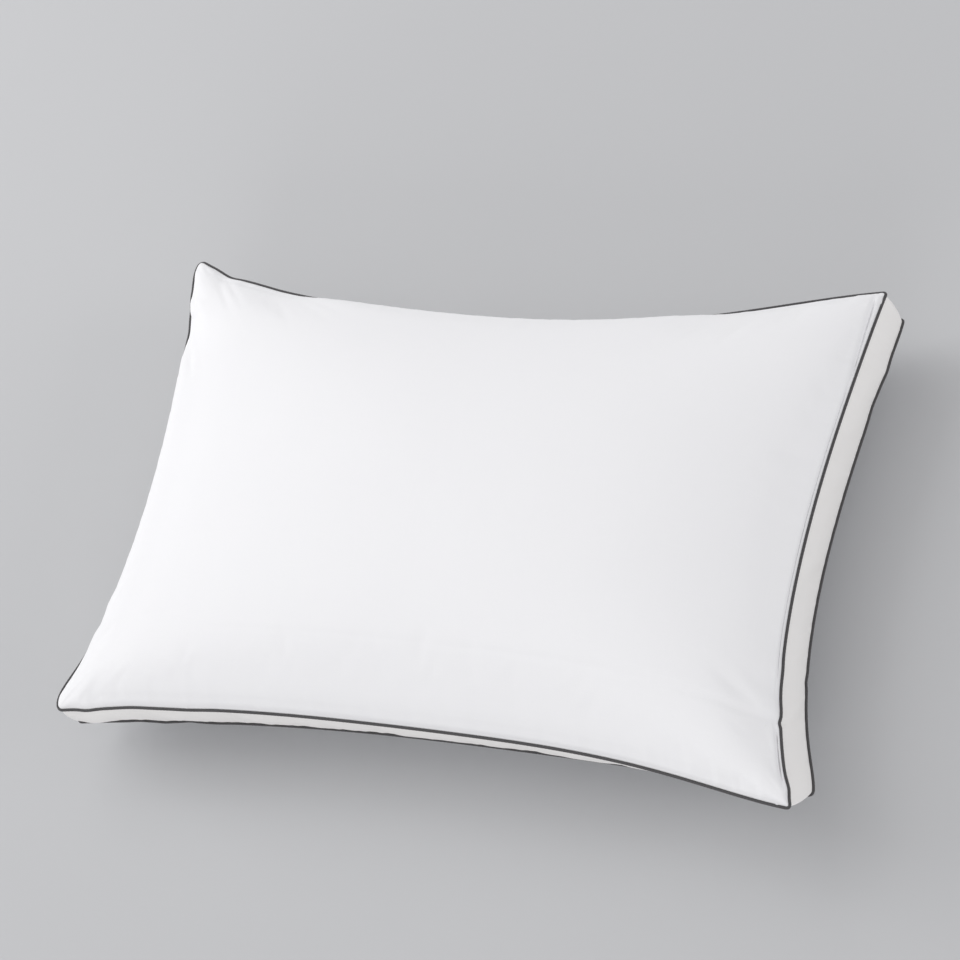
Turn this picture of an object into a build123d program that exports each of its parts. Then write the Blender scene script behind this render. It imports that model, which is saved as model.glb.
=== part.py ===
"""Gusseted bed pillow: two crowned cotton panels joined to a side band by piped seams.

Frame: millimetres, +X along the long side, +Y towards the back edge, +Z up.
The origin is on the surface the pillow lies on, below the middle of its outline.
"""

import os
from math import atan, cos, degrees, pi, sin

from build123d import *

os.makedirs("parts", exist_ok=True)

# Driving dimensions of the sewn case
LENGTH = 660.0            # corner to corner along X, a 26 inch pillow
WIDTH = 457.0             # corner to corner along Y, 18 inches
GUSSET = 50.8             # height of the side band between its two seams, 2 inches
PULL_FRONT = 26.0         # how far the middle of each edge is drawn in by the filling
PULL_BACK = 44.0
PULL_LEFT = 25.5
PULL_RIGHT = 28.5
CORNER_RADIUS = 4.0       # turn of the seam line at a corner
CROWN = 71.0              # height of a panel's middle over its seam, when free
REST_DROP = 42.0          # bottom seam above the surface, once the bottom crown has settled

# Crown profile: CROWN * ((1 - |u|^POWER_X)^FALL_X) * ((1 - |v|^POWER_Y)^FALL_Y)
POWER_X = 2.14
FALL_X = 0.71
POWER_Y = 2.16
FALL_Y = 0.75

# Cloth, piping and seams
CLOTH = 0.6               # panel and gusset cloth
TAPE = 0.4                # one ply of the piping tape
PLY_GAP = 0.3             # loft between the plies of a seam
ALLOWANCE = 10.0          # width of every seam allowance
RIM = 2.0                 # upright turn of a panel just above its seam
BEAD_RADIUS = 1.6         # outside of the piping
BEAD_HOLLOW = 1.12        # inside of the piping tape
CORD_RADIUS = 1.0         # filler cord in the piping
BEAD_GAP = 0.35           # seam line to the near side of the bead
THREAD = 0.4              # sewing thread
STITCH_INSET = 2.0        # perimeter seam, inside the seam line
FILL_GAP = 0.6            # filling to cloth

# Care label and closing row, both on the back edge
LABEL_WIDTH = 38.0
LABEL_DROP = 36.0
LABEL_THICKNESS = 0.24
LABEL_X = -120.0
CLOSING_LENGTH = 160.0
CLOSING_PITCH = 5.0
CLOSING_STITCH = 3.6
CLOSING_RISE = 3.4        # closing row above the bottom seam

HALF_X = LENGTH / 2
HALF_Y = WIDTH / 2
BOTTOM_SEAM = REST_DROP
TOP_SEAM = REST_DROP + GUSSET
FLANGE_HALF = TAPE                       # the flange is two plies, one each side of the seam plane
PLY_START = FLANGE_HALF + PLY_GAP        # seam plane to the near face of an allowance
PLY_END = PLY_START + CLOTH              # seam plane to its far face
SEAM_REACH = PLY_END + THREAD            # seam plane to the outside of the thread
SIDES = {"top": (TOP_SEAM, 1), "bottom": (BOTTOM_SEAM, -1)}


def save(part, name):
    """Label a finished piece and write its STEP file."""
    part.label = name
    export_step(part, f"parts/{name}.step")


# ---------------------------------------------------------------- seam line
with BuildSketch() as outline:
    with BuildLine() as seam_line:
        ThreePointArc((-HALF_X, -HALF_Y), (0, PULL_FRONT - HALF_Y), (HALF_X, -HALF_Y))
        ThreePointArc((HALF_X, -HALF_Y), (HALF_X - PULL_RIGHT, 0), (HALF_X, HALF_Y))
        ThreePointArc((HALF_X, HALF_Y), (0, HALF_Y - PULL_BACK), (-HALF_X, HALF_Y))
        ThreePointArc((-HALF_X, HALF_Y), (PULL_LEFT - HALF_X, 0), (-HALF_X, -HALF_Y))
    make_face()
    fillet(outline.vertices(), radius=CORNER_RADIUS)


def grown(amount):
    """The seam outline grown by amount, or shrunk where it is negative."""
    if amount == 0:
        return outline.sketch
    return offset(outline.sketch, amount=amount, kind=Kind.ARC, mode=Mode.PRIVATE)


def ring(height, outer, inner):
    """Flat ring at a height, between two offsets of the seam line."""
    with BuildSketch(Plane.XY.offset(height)) as sketch:
        add(grown(outer))
        add(grown(inner), mode=Mode.SUBTRACT)
    return sketch.sketch


def slab(height, amount):
    """Full outline at a height, grown by amount."""
    with BuildSketch(Plane.XY.offset(height)) as sketch:
        add(grown(amount))
    return sketch.sketch


# ---------------------------------------------------------------- crowned panels
GRID = 21                 # stations across the crowned surface each way
OVERSIZE = 1.0            # the surface runs this far past the seam line before it is trimmed


def crown_points(edge_height, up):
    """Stations of the crowned surface, closer together towards its edges."""
    stations = [sin(pi / 2 * (2 * i / (GRID - 1) - 1)) for i in range(GRID)]
    rows = []
    for v in stations:
        row = []
        for u in stations:
            pull_x = (PULL_LEFT * (1 - u) - PULL_RIGHT * (1 + u)) / 2 * (1 - v * v)
            pull_y = (PULL_FRONT * (1 - v) - PULL_BACK * (1 + v)) / 2 * (1 - u * u)
            rise_x = max(0.0, 1 - abs(u) ** POWER_X) ** FALL_X
            rise_y = max(0.0, 1 - abs(v) ** POWER_Y) ** FALL_Y
            rise = (CROWN - PLY_START - RIM) * rise_x * rise_y
            x = (HALF_X + OVERSIZE) * u + pull_x
            y = (HALF_Y + OVERSIZE) * v + pull_y
            row.append((x, y, edge_height + up * rise))
        rows.append(row)
    return rows


def crowned_blank(side, inset, sink, base):
    """Solid from a flat base near the seam to the crowned surface, sunk by sink."""
    seam, up = SIDES[side]
    edge_height = seam + up * (PLY_START + RIM - sink)
    base_height = seam + up * base
    surface = Face.make_surface_from_array_of_points(crown_points(edge_height, up), min_deg=3)
    underside = Face(Wire(surface.edges()))
    with BuildPart() as blank:
        add(Solid(Shell([surface, underside])))
        extrude(underside, amount=abs(edge_height - base_height), dir=(0, 0, -up))
        extrude(slab(base_height, -inset), amount=CROWN, dir=(0, 0, up), mode=Mode.INTERSECT)
        if up < 0:
            split(bisect_by=Plane.XY.offset(sink), keep=Keep.TOP)
    return blank.part


for side, (seam, up) in SIDES.items():
    with BuildPart() as panel:
        add(crowned_blank(side, 0, 0, PLY_START))
        add(crowned_blank(side, CLOTH, CLOTH, PLY_END), mode=Mode.SUBTRACT)
        opening = slab(seam + up * PLY_START, -ALLOWANCE)
        extrude(opening, amount=CLOTH, dir=(0, 0, up), mode=Mode.SUBTRACT)
    save(panel.part, f"{side}_panel")

# ---------------------------------------------------------------- piping
for side, (seam, up) in SIDES.items():
    bead_wire = slab(seam, BEAD_GAP + BEAD_RADIUS).wires()[0]
    section_plane = Plane(origin=bead_wire @ 0, z_dir=bead_wire % 0)

    with BuildPart() as piping_cover:
        with BuildSketch(section_plane):
            Circle(BEAD_RADIUS)
            Circle(BEAD_HOLLOW, mode=Mode.SUBTRACT)
        sweep(path=bead_wire)
        flange = ring(seam - FLANGE_HALF, BEAD_GAP + TAPE / 2, -ALLOWANCE)
        extrude(flange, amount=2 * FLANGE_HALF, dir=(0, 0, 1))
    save(piping_cover.part, f"{side}_piping_cover")

    with BuildPart() as piping_cord:
        with BuildSketch(section_plane):
            Circle(CORD_RADIUS)
        sweep(path=bead_wire)
    save(piping_cord.part, f"{side}_piping_cord")

# ---------------------------------------------------------------- gusset
TAB_LENGTH = ALLOWANCE + CORNER_RADIUS   # corner allowance, measured from the sharp corner
STRIP_REACH = 110.0                      # how far in from a corner a strip's cutting shape runs
STRIP_GAP = 0.1                          # each strip stays this far from a corner's bisector
CORNERS = {
    "front_left": (-1, -1, PULL_FRONT, PULL_LEFT),
    "front_right": (1, -1, PULL_FRONT, PULL_RIGHT),
    "back_right": (1, 1, PULL_BACK, PULL_RIGHT),
    "back_left": (-1, 1, PULL_BACK, PULL_LEFT),
}


def corner_point(name, reach, across=0.0):
    """Point on a corner's inward bisector, reach from the corner and across it sideways."""
    sign_x, sign_y, long_pull, short_pull = CORNERS[name]
    long_turn = 2 * atan(long_pull / HALF_X)
    short_turn = 2 * atan(short_pull / HALF_Y)
    angle = (long_turn + pi / 2 - short_turn) / 2
    along_x = cos(angle) * reach - sin(angle) * across
    along_y = sin(angle) * reach + cos(angle) * across
    return (sign_x * (HALF_X - along_x), sign_y * (HALF_Y - along_y))


def corner_strip(name, near, far, half_width, inner=0.0):
    """Closed outlines along a corner's bisector, on both sides of it."""
    outlines = []
    for hand in (-1, 1):
        outlines.append([
            corner_point(name, near, hand * inner),
            corner_point(name, far, hand * inner),
            corner_point(name, far, hand * half_width),
            corner_point(name, near, hand * half_width),
        ])
    return outlines


def corner_bars(height, near, far, half_width, inner=0.0):
    """Sketch of the bars that lie along all four corner bisectors."""
    with BuildSketch(Plane.XY.offset(height)) as sketch:
        for name in CORNERS:
            for points in corner_strip(name, near, far, half_width, inner):
                Polygon(*points, align=None)
    return sketch.sketch


wall_bottom = BOTTOM_SEAM + PLY_START
wall_height = GUSSET - 2 * PLY_START
tab_bottom = BOTTOM_SEAM + SEAM_REACH + PLY_GAP
tab_height = GUSSET - 2 * (SEAM_REACH + PLY_GAP)
with BuildPart() as gusset_band:
    extrude(ring(wall_bottom, 0, -CLOTH), amount=wall_height, dir=(0, 0, 1))
    extrude(ring(wall_bottom, 0, -ALLOWANCE), amount=CLOTH, dir=(0, 0, 1))
    extrude(ring(TOP_SEAM - PLY_END, 0, -ALLOWANCE), amount=CLOTH, dir=(0, 0, 1))
    tabs = corner_bars(tab_bottom, 0, TAB_LENGTH, CLOTH + STRIP_GAP)
    extrude(tabs, amount=tab_height, dir=(0, 0, 1))
    extrude(slab(wall_bottom, 0), amount=wall_height, dir=(0, 0, 1), mode=Mode.INTERSECT)

STRIPS = {
    "gusset_front": ("front_left", "front_right"),
    "gusset_right": ("front_right", "back_right"),
    "gusset_back": ("back_right", "back_left"),
    "gusset_left": ("back_left", "front_left"),
}
for strip_name, (first, second) in STRIPS.items():
    with BuildPart() as strip:
        add(gusset_band.part)
        with BuildSketch(Plane.XY.offset(wall_bottom)) as wedge:
            Polygon(
                corner_point(first, -STRIP_REACH),
                corner_point(second, -STRIP_REACH),
                corner_point(second, STRIP_REACH),
                corner_point(first, STRIP_REACH),
                align=None,
            )
            offset(amount=-STRIP_GAP, kind=Kind.INTERSECTION, mode=Mode.REPLACE)
        extrude(amount=wall_height, mode=Mode.INTERSECT)
    save(strip.part, strip_name)

# ---------------------------------------------------------------- sewing thread
for side, (seam, up) in SIDES.items():
    with BuildPart() as seam_thread:
        for base in (seam + PLY_END, seam - PLY_END - THREAD):
            line = ring(base, -STITCH_INSET, -STITCH_INSET - THREAD)
            extrude(line, amount=THREAD, dir=(0, 0, 1))
    save(seam_thread.part, f"{side}_seam_thread")

thread_near = CORNER_RADIUS + STITCH_INSET
thread_side = CLOTH + STRIP_GAP
with BuildPart() as corner_seam_threads:
    upright = corner_bars(
        tab_bottom, thread_near, thread_near + THREAD, thread_side + THREAD, thread_side
    )
    extrude(upright, amount=tab_height, dir=(0, 0, 1))
save(corner_seam_threads.part, "corner_seam_threads")


def back_edge(x):
    """Y of the back gusset's outer face at a given X."""
    radius = (HALF_X ** 2 + PULL_BACK ** 2) / (2 * PULL_BACK)
    return HALF_Y - PULL_BACK + radius - (radius ** 2 - x ** 2) ** 0.5


closing_count = int(CLOSING_LENGTH / CLOSING_PITCH)
with BuildPart() as closing_stitches:
    for index in range(closing_count):
        x = (index - (closing_count - 1) / 2) * CLOSING_PITCH
        y = back_edge(x) + THREAD / 2 + STRIP_GAP
        slope = degrees(x / HALF_X * 2 * atan(PULL_BACK / HALF_X))
        with Locations(Location((x, y, BOTTOM_SEAM + CLOSING_RISE), (0, 0, slope))):
            Cylinder(THREAD / 2, CLOSING_STITCH, rotation=(0, 90, 0))
save(closing_stitches.part, "closing_stitches")

# ---------------------------------------------------------------- care label
leaf_near = (BEAD_GAP - LABEL_THICKNESS) / 2
leaf_top = BOTTOM_SEAM - FLANGE_HALF - (PLY_GAP - LABEL_THICKNESS) / 2
label_centre = (LABEL_X, HALF_Y)
label_window = (LABEL_WIDTH, 4 * PULL_BACK)
with BuildPart() as care_label:
    with BuildSketch(Plane.XY.offset(leaf_top - LABEL_DROP)) as leaf:
        add(ring(0, leaf_near + LABEL_THICKNESS, leaf_near))
        with Locations(label_centre):
            Rectangle(*label_window, mode=Mode.INTERSECT)
    extrude(amount=LABEL_DROP)
    with BuildSketch(Plane.XY.offset(leaf_top - LABEL_THICKNESS)) as turned_in:
        add(ring(0, leaf_near + LABEL_THICKNESS, -ALLOWANCE))
        with Locations(label_centre):
            Rectangle(*label_window, mode=Mode.INTERSECT)
    extrude(amount=LABEL_THICKNESS)
save(care_label.part, "care_label")

# ---------------------------------------------------------------- filling
groove = SEAM_REACH + FILL_GAP
with BuildPart() as fibre_fill:
    core = slab(BOTTOM_SEAM + groove, -CLOTH - FILL_GAP)
    extrude(core, amount=GUSSET - 2 * groove, dir=(0, 0, 1))
    neck = slab(BOTTOM_SEAM - groove, -ALLOWANCE - FILL_GAP)
    extrude(neck, amount=GUSSET + 2 * groove, dir=(0, 0, 1))
    for side in SIDES:
        add(crowned_blank(side, CLOTH + FILL_GAP, CLOTH + FILL_GAP, groove))
    slots = corner_bars(BOTTOM_SEAM, 0, TAB_LENGTH + FILL_GAP, CLOTH + THREAD + FILL_GAP)
    extrude(slots, amount=GUSSET, dir=(0, 0, 1), mode=Mode.SUBTRACT)
save(fibre_fill.part, "fibre_fill")
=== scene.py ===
import math

import bmesh
import bpy
import numpy as np
from mathutils import Matrix, Vector


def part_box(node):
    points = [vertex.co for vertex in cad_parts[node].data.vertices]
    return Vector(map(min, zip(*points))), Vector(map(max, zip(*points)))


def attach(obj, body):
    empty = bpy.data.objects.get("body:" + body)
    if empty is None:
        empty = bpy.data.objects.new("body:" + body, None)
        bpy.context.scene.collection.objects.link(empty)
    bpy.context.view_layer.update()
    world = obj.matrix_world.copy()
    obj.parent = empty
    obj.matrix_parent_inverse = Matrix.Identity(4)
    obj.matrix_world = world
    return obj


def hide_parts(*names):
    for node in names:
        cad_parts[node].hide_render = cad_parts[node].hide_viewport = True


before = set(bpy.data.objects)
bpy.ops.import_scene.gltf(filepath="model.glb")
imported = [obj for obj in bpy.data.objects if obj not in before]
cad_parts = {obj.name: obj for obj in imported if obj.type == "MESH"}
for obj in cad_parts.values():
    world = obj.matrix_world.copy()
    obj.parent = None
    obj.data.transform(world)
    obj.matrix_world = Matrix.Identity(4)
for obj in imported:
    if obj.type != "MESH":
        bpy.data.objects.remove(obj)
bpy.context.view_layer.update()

MM = 0.001

# ---- sizes, from the frame
top_cord_low, top_cord_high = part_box("top_piping_cord")
bottom_cord_low, bottom_cord_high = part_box("bottom_piping_cord")
cover_low, cover_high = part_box("top_piping_cover")
CORD_R = (top_cord_high[2] - top_cord_low[2]) / 2
TAPE_TIGHTER = 0.4 * MM      # the tape is drawn this much tighter round its cord than in CAD
BEAD_R = (cover_high[2] - cover_low[2]) / 2 - TAPE_TIGHTER
HALF_X = (top_cord_high[0] - top_cord_low[0]) / 2 - CORD_R
HALF_Y = (top_cord_high[1] - top_cord_low[1]) / 2 - CORD_R
TOP_Z = (top_cord_high[2] + top_cord_low[2]) / 2
BOTTOM_Z = (bottom_cord_high[2] + bottom_cord_low[2]) / 2
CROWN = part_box("top_panel")[1][2] - TOP_Z

CLOTH = 0.5 * MM
ALLOWANCE = 10 * MM
FOLD_REACHES = (1 * MM, 5 * MM, ALLOWANCE)   # lines of cloth across an allowance
FOLD_DROP = 0.1 * MM         # allowances ease apart from their panels by this much
TUCK = 1.0 * MM              # cloth meets the bead this far inside its middle
PLY = 0.45 * MM              # and this far above or below it
# The bead starts to turn this far from a corner.
CORNER_CUTS = {
    "front_left": 3.6 * MM,
    "front_right": 4.6 * MM,
    "back_right": 3.6 * MM,
    "back_left": 5.5 * MM,
}

# ---- seam lines
# s runs from -1 to 1 along each edge, towards +X or +Y. An edge bows inward between its corners by
# (1 - s^2) times a polynomial in s, its ends are drawn out into points, and its middle is raised.
TOP_CORNERS = {
    "front_left": Vector((-HALF_X, -HALF_Y, TOP_Z)),
    "front_right": Vector((HALF_X, -HALF_Y, TOP_Z)),
    "back_right": Vector((HALF_X, HALF_Y, TOP_Z)),
    "back_left": Vector((-HALF_X, HALF_Y, TOP_Z)),
}
# The lower seam has shifted under the upper one, most of all at the front right corner.
CORNER_SHIFT = {
    "front_left": Vector((-8.2, 5.9, 1.0)) * MM,
    "front_right": Vector((4.3, 25.7, 7.2)) * MM,
    "back_right": Vector((6.1, 2.8, 0.4)) * MM,
    "back_left": Vector((-4.0, 1.0, 0.2)) * MM,
}
BOTTOM_CORNERS = {}
for corner, place in TOP_CORNERS.items():
    BOTTOM_CORNERS[corner] = Vector((place.x, place.y, BOTTOM_Z)) + CORNER_SHIFT[corner]

EDGE_ENDS = {
    "front": ("front_left", "front_right", (0, 1)),
    "right": ("front_right", "back_right", (-1, 0)),
    "back": ("back_left", "back_right", (0, -1)),
    "left": ("front_left", "back_left", (1, 0)),
}
TOP_BOW = {
    "front": {"depths": (25.5, 2.6, 15.1, 3.2, -21.7, -15.1), "points": (0, 0), "lift": -2.3},
    "right": {"depths": (29.1, -12.1, 6.4, -5.5, -1.8, 7.1), "points": (0, 0), "lift": -2.1},
    "back": {"depths": (48.3, 2.3, 2.0, -28.9), "points": (0, 0), "lift": 1.0},
    "left": {"depths": (27.2, -8.9, 0.2), "points": (8.0, 5.2), "lift": 4.6},
}
BOTTOM_BOW = {
    "front": {"depths": (16.2, -6.1, 1.4, 10.2, -2.5, -13.9), "points": (0, 0), "lift": 0.0},
    "right": {"depths": (27.3, -11.8, 2.2), "points": (2.5, 0.8), "lift": -7.8},
    "back": {"depths": (43.0, 0.0, 2.0, -18.0), "points": (0, 0), "lift": 0.0},
    "left": {"depths": (26.0, -7.0, 0.0), "points": (6.0, 4.0), "lift": 2.0},
}
POINT_REACH = 0.08           # share of half an edge over which a corner is drawn out
TURN_FADE = 8                # turns fade out over the last 1/8 of an edge's arch
# Small turns of the piping: place from the middle of the edge, width, outward and upward, in mm.
TURNS = {
    ("top", "front"): ((-303, 9, 1.4, 0.5), (-262, 20, -0.8, 0.6), (-206, 18, 0.5, -0.3)),
    ("top", "right"): (
        (-214, 9, 1.5, 0.3), (-161, 3.2, -1.2, -0.4), (-152, 8, 0.7, 0.3), (-118, 9, 0.5, 0),
    ),
    ("top", "back"): ((-294, 12, -2.2, -0.4), (-258, 16, 0.5, 0.2)),
    ("top", "left"): ((150, 10, -1.0, 0), (186, 9, 0.9, 0), (-150, 8, -1.2, 0), (-128, 8, 1.0, 0)),
    ("bottom", "front"): (
        (-272, 9, -0.4, 0.5), (-246, 8, 0.4, -0.9), (-222, 7, -0.5, 0.9), (-196, 10, 0.2, -0.6),
    ),
    ("bottom", "right"): ((-128, 5, -0.7, 0), (176, 11, 1.0, 0), (140, 14, -0.8, 0)),
}
RING = (("front", 1), ("right", 1), ("back", -1), ("left", -1))   # anticlockwise from above
SEAMS = {"top": (TOP_CORNERS, TOP_BOW), "bottom": (BOTTOM_CORNERS, BOTTOM_BOW)}
UP = {"top": 1, "bottom": -1}


def stations(count, crowding=0.75):
    """Stations from -1 to 1, closer together towards the ends."""
    t = np.linspace(-1, 1, count)
    return (1 - crowding) * t + crowding * np.sin(np.pi / 2 * t)


def half_length(edge):
    """Half the length of an edge, in plan."""
    return HALF_X if edge in ("front", "back") else HALF_Y


def sharp_edge(side, edge, s):
    """Seam line of one edge at stations s, with sharp corners."""
    corners, bow = SEAMS[side]
    first, second, inward = EDGE_ENDS[edge]
    start = np.array(corners[first])
    end = np.array(corners[second])
    shape = bow[edge]
    arch = 1 - s ** 2
    depth = arch * sum(share * s ** power for power, share in enumerate(shape["depths"]))
    for end_sign, drawn in zip((-1, 1), shape["points"]):
        reach = (1 - end_sign * s) / POINT_REACH
        depth = depth - drawn * reach * np.exp(1 - reach)
    rise = shape["lift"] * arch
    for place, width, out, up in TURNS.get((side, edge), ()):
        turn = np.exp(-((s * half_length(edge) / MM - place) / width) ** 2)
        turn = turn * np.clip(arch * TURN_FADE, 0, 1)
        depth = depth - out * turn
        rise = rise + up * turn
    points = start + (end - start) * ((s + 1) / 2)[:, None]
    points[:, 0] += inward[0] * depth * MM
    points[:, 1] += inward[1] * depth * MM
    points[:, 2] += rise * MM
    return points


def rounded_edge(side, edge, s):
    """Seam line of one edge at stations s, its ends turned halfway round the corners."""
    points = sharp_edge(side, edge, s)
    for end_sign, corner in ((-1, EDGE_ENDS[edge][0]), (1, EDGE_ENDS[edge][1])):
        other = next(name for name in EDGE_ENDS if name != edge and corner in EDGE_ENDS[name][:2])
        other_sign = -1 if EDGE_ENDS[other][0] == corner else 1
        vertex = np.array(SEAMS[side][0][corner])
        cut = CORNER_CUTS[corner] / half_length(edge)
        other_cut = CORNER_CUTS[corner] / half_length(other)
        here = sharp_edge(side, edge, np.array([end_sign * (1 - cut)]))[0]
        there = sharp_edge(side, other, np.array([other_sign * (1 - other_cut)]))[0]
        near = end_sign * s > 1 - cut
        t = (0.5 * (end_sign * s[near] - (1 - cut)) / cut)[:, None]
        points[near] = here * (1 - t) ** 2 + vertex * 2 * t * (1 - t) + there * t ** 2
    return points


def outward_of(edge, points):
    """Unit vectors in plan, square to an edge and pointing out of the pillow."""
    along = np.gradient(points[:, :2], axis=0)
    across = np.stack([along[:, 1], -along[:, 0]], 1)
    across /= np.linalg.norm(across, axis=1)[:, None]
    inward = np.array(EDGE_ENDS[edge][2], float)
    sign = np.where((across * inward).sum(1) > 0, -1.0, 1.0)
    return across * sign[:, None]


FINE_S = stations(2001)
FINE_EDGES = {}
for side in SEAMS:
    for edge in EDGE_ENDS:
        fine_line = rounded_edge(side, edge, FINE_S)
        FINE_EDGES[side, edge] = (fine_line, outward_of(edge, fine_line))


def seam_at(side, edge, s):
    """Middle of the bead at stations s of an edge, and the outward vectors there."""
    line, out = FINE_EDGES[side, edge]
    points = np.stack([np.interp(s, FINE_S, line[:, k]) for k in range(3)], 1)
    outs = np.stack([np.interp(s, FINE_S, out[:, k]) for k in range(2)], 1)
    return points, outs / np.linalg.norm(outs, axis=1)[:, None]


def tucked_edge(side, edge, s, rise):
    """Where cloth goes in beside the bead: inside the seam line, above or below its middle."""
    points, out = seam_at(side, edge, s)
    points[:, :2] -= out * TUCK
    points[:, 2] += rise
    return points


# ---- mesh building
def new_object(name, points, faces, uv=None, smooth=True):
    """Mesh object from points, quads or mixed faces, and a UV in metres for each point."""
    mesh = bpy.data.meshes.new(name)
    mesh.from_pydata([tuple(p) for p in points], [], [tuple(f) for f in faces])
    mesh.validate()
    if uv is not None:
        layer = mesh.uv_layers.new(name="cloth")
        corner_points = np.zeros(len(mesh.loops), np.int32)
        mesh.loops.foreach_get("vertex_index", corner_points)
        layer.data.foreach_set("uv", np.asarray(uv, np.float32)[corner_points].ravel())
    mesh.polygons.foreach_set("use_smooth", [smooth] * len(mesh.polygons))
    obj = bpy.data.objects.new(name, mesh)
    bpy.context.scene.collection.objects.link(obj)
    return obj


def grid_faces(rows, columns, start=0, flip=False, skip=None):
    """Quads of a grid whose points are numbered row by row."""
    faces = []
    for r in range(rows - 1):
        for c in range(columns - 1):
            if skip is not None and skip(r, c):
                continue
            a = start + r * columns + c
            quad = (a, a + 1, a + columns + 1, a + columns)
            faces.append(quad[::-1] if flip else quad)
    return faces


def finish_piece(obj, node, material):
    """Ride on the one body, stand for a CAD node, and wear a material."""
    obj.data.materials.append(material)
    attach(obj, "root")
    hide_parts(node)
    return obj


def thicken(obj, thickness):
    """Give a sheet of cloth its thickness, on its inner side."""
    solid = obj.modifiers.new("cloth thickness", "SOLIDIFY")
    solid.thickness = thickness
    solid.offset = -1.0
    solid.use_quality_normals = True


def drop_loose_points(obj):
    """Remove points that no face uses."""
    mesh = bmesh.new()
    mesh.from_mesh(obj.data)
    loose = [point for point in mesh.verts if not point.link_faces]
    bmesh.ops.delete(mesh, geom=loose, context="VERTS")
    mesh.to_mesh(obj.data)
    mesh.free()


def rim_indices(rows, columns):
    """Grid positions round the rim, anticlockwise from the front left."""
    rim = [(0, c) for c in range(columns)]
    rim += [(r, columns - 1) for r in range(1, rows)]
    rim += [(rows - 1, c) for c in range(columns - 2, -1, -1)]
    rim += [(r, 0) for r in range(rows - 2, 0, -1)]
    return rim


def inward_of(line):
    """Unit vectors in plan pointing into a closed anticlockwise line."""
    ahead = np.roll(line[:, :2], -1, axis=0) - np.roll(line[:, :2], 1, axis=0)
    inward = np.stack([-ahead[:, 1], ahead[:, 0]], 1)
    return inward / np.linalg.norm(inward, axis=1)[:, None]


def turned_in(line, out, reach, drop):
    """A line of cloth moved inward from the seam, for an allowance."""
    strip = line.copy()
    strip[..., :2] -= out * reach
    strip[..., 2] += drop
    return strip


# ---- crowned panels
# The crown falls towards each edge as (1 - |s| ** power) ** fall.
PROFILES = {"left": (2.143, 0.71), "right": (3.0, 0.80), "front": (2.6, 0.77), "back": (2.158, 0.751)}
HIP = 1.3                    # how strongly ridges run from the corners up to the crown
PROFILE_BLEND = 2.5          # how sharply one edge's fall gives way to the opposite edge's
SETTLE_BLEND = 5 * MM        # how gradually the lower panel levels off


def coons(side, rise, u, v):
    """Surface spanned by a seam's four tucked edges; rows follow v and columns follow u."""
    ends = np.array([-1.0, 1.0])
    front = tucked_edge(side, "front", u, rise)
    back = tucked_edge(side, "back", u, rise)
    left = tucked_edge(side, "left", v, rise)
    right = tucked_edge(side, "right", v, rise)
    low = tucked_edge(side, "front", ends, rise)
    high = tucked_edge(side, "back", ends, rise)
    a = ((u + 1) / 2)[None, :, None]
    b = ((v + 1) / 2)[:, None, None]
    ruled_v = (1 - b) * front[None] + b * back[None]
    ruled_u = (1 - a) * left[:, None] + a * right[:, None]
    across_low = (1 - a) * low[0] + a * low[1]
    across_high = (1 - a) * high[0] + a * high[1]
    return ruled_v + ruled_u - (1 - b) * across_low - b * across_high


def profile(s, low_edge, high_edge):
    """Fall of the crown across the panel, from one edge to the opposite one."""
    share = 0.5 + 0.5 * np.tanh(PROFILE_BLEND * s)
    low_power, low_fall = PROFILES[low_edge]
    high_power, high_fall = PROFILES[high_edge]
    power = low_power + (high_power - low_power) * share
    fall = low_fall + (high_fall - low_fall) * share
    return np.clip(1 - np.abs(s) ** power, 1e-9, 1) ** fall


def crown_share(u, v):
    """Height of the crown as a share of its middle, over the whole panel."""
    across = profile(u, "left", "right")[None, :]
    along = profile(v, "front", "back")[:, None]
    return (across ** -HIP + along ** -HIP - 1) ** (-1 / HIP)


def soft_limit(height, limit, blend):
    """Height that levels off smoothly at a limit."""
    excess = (height - limit) / blend
    return height - blend * np.logaddexp(0, excess)


def crowned_surface(side, u, v):
    """A panel's outer surface; the lower one levels off where it meets what it lies on."""
    up = UP[side]
    surface = coons(side, up * PLY, u, v)
    rise = (CROWN - PLY) * crown_share(u, v)
    if up < 0:
        rise = soft_limit(rise, surface[:, :, 2] - SETTLE_BLEND / 20, SETTLE_BLEND)
    surface[:, :, 2] += up * rise
    surface[:, :, 2] = np.maximum(surface[:, :, 2], 0)
    return surface


# Rolls of cloth that puff up over the bead: along the edge from and to, fade, height, overhang, in mm.
ROLLS = {
    ("top", "back"): ((-192, 176, 40, 8.0, 2.4),),
    ("top", "left"): ((-174, 130, 24, 7.0, 2.4), (166, 184, 6, 4.0, 1.8)),
    ("top", "right"): ((-150, 215, 25, 1.6, 0.7), (-206, -172, 10, 0.9, 0.3)),
    ("top", "front"): ((-310, 300, 25, 0.8, 0.5),),
    ("bottom", "back"): ((-300, 300, 40, 2.5, 1.2),),
    ("bottom", "left"): ((-200, 200, 30, 2.0, 1.0),),
    ("bottom", "right"): ((-200, 200, 30, 1.2, 0.6),),
    ("bottom", "front"): ((-300, 300, 30, 1.2, 0.6),),
}
ROLL_REACH = 4.5 * MM
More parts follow.
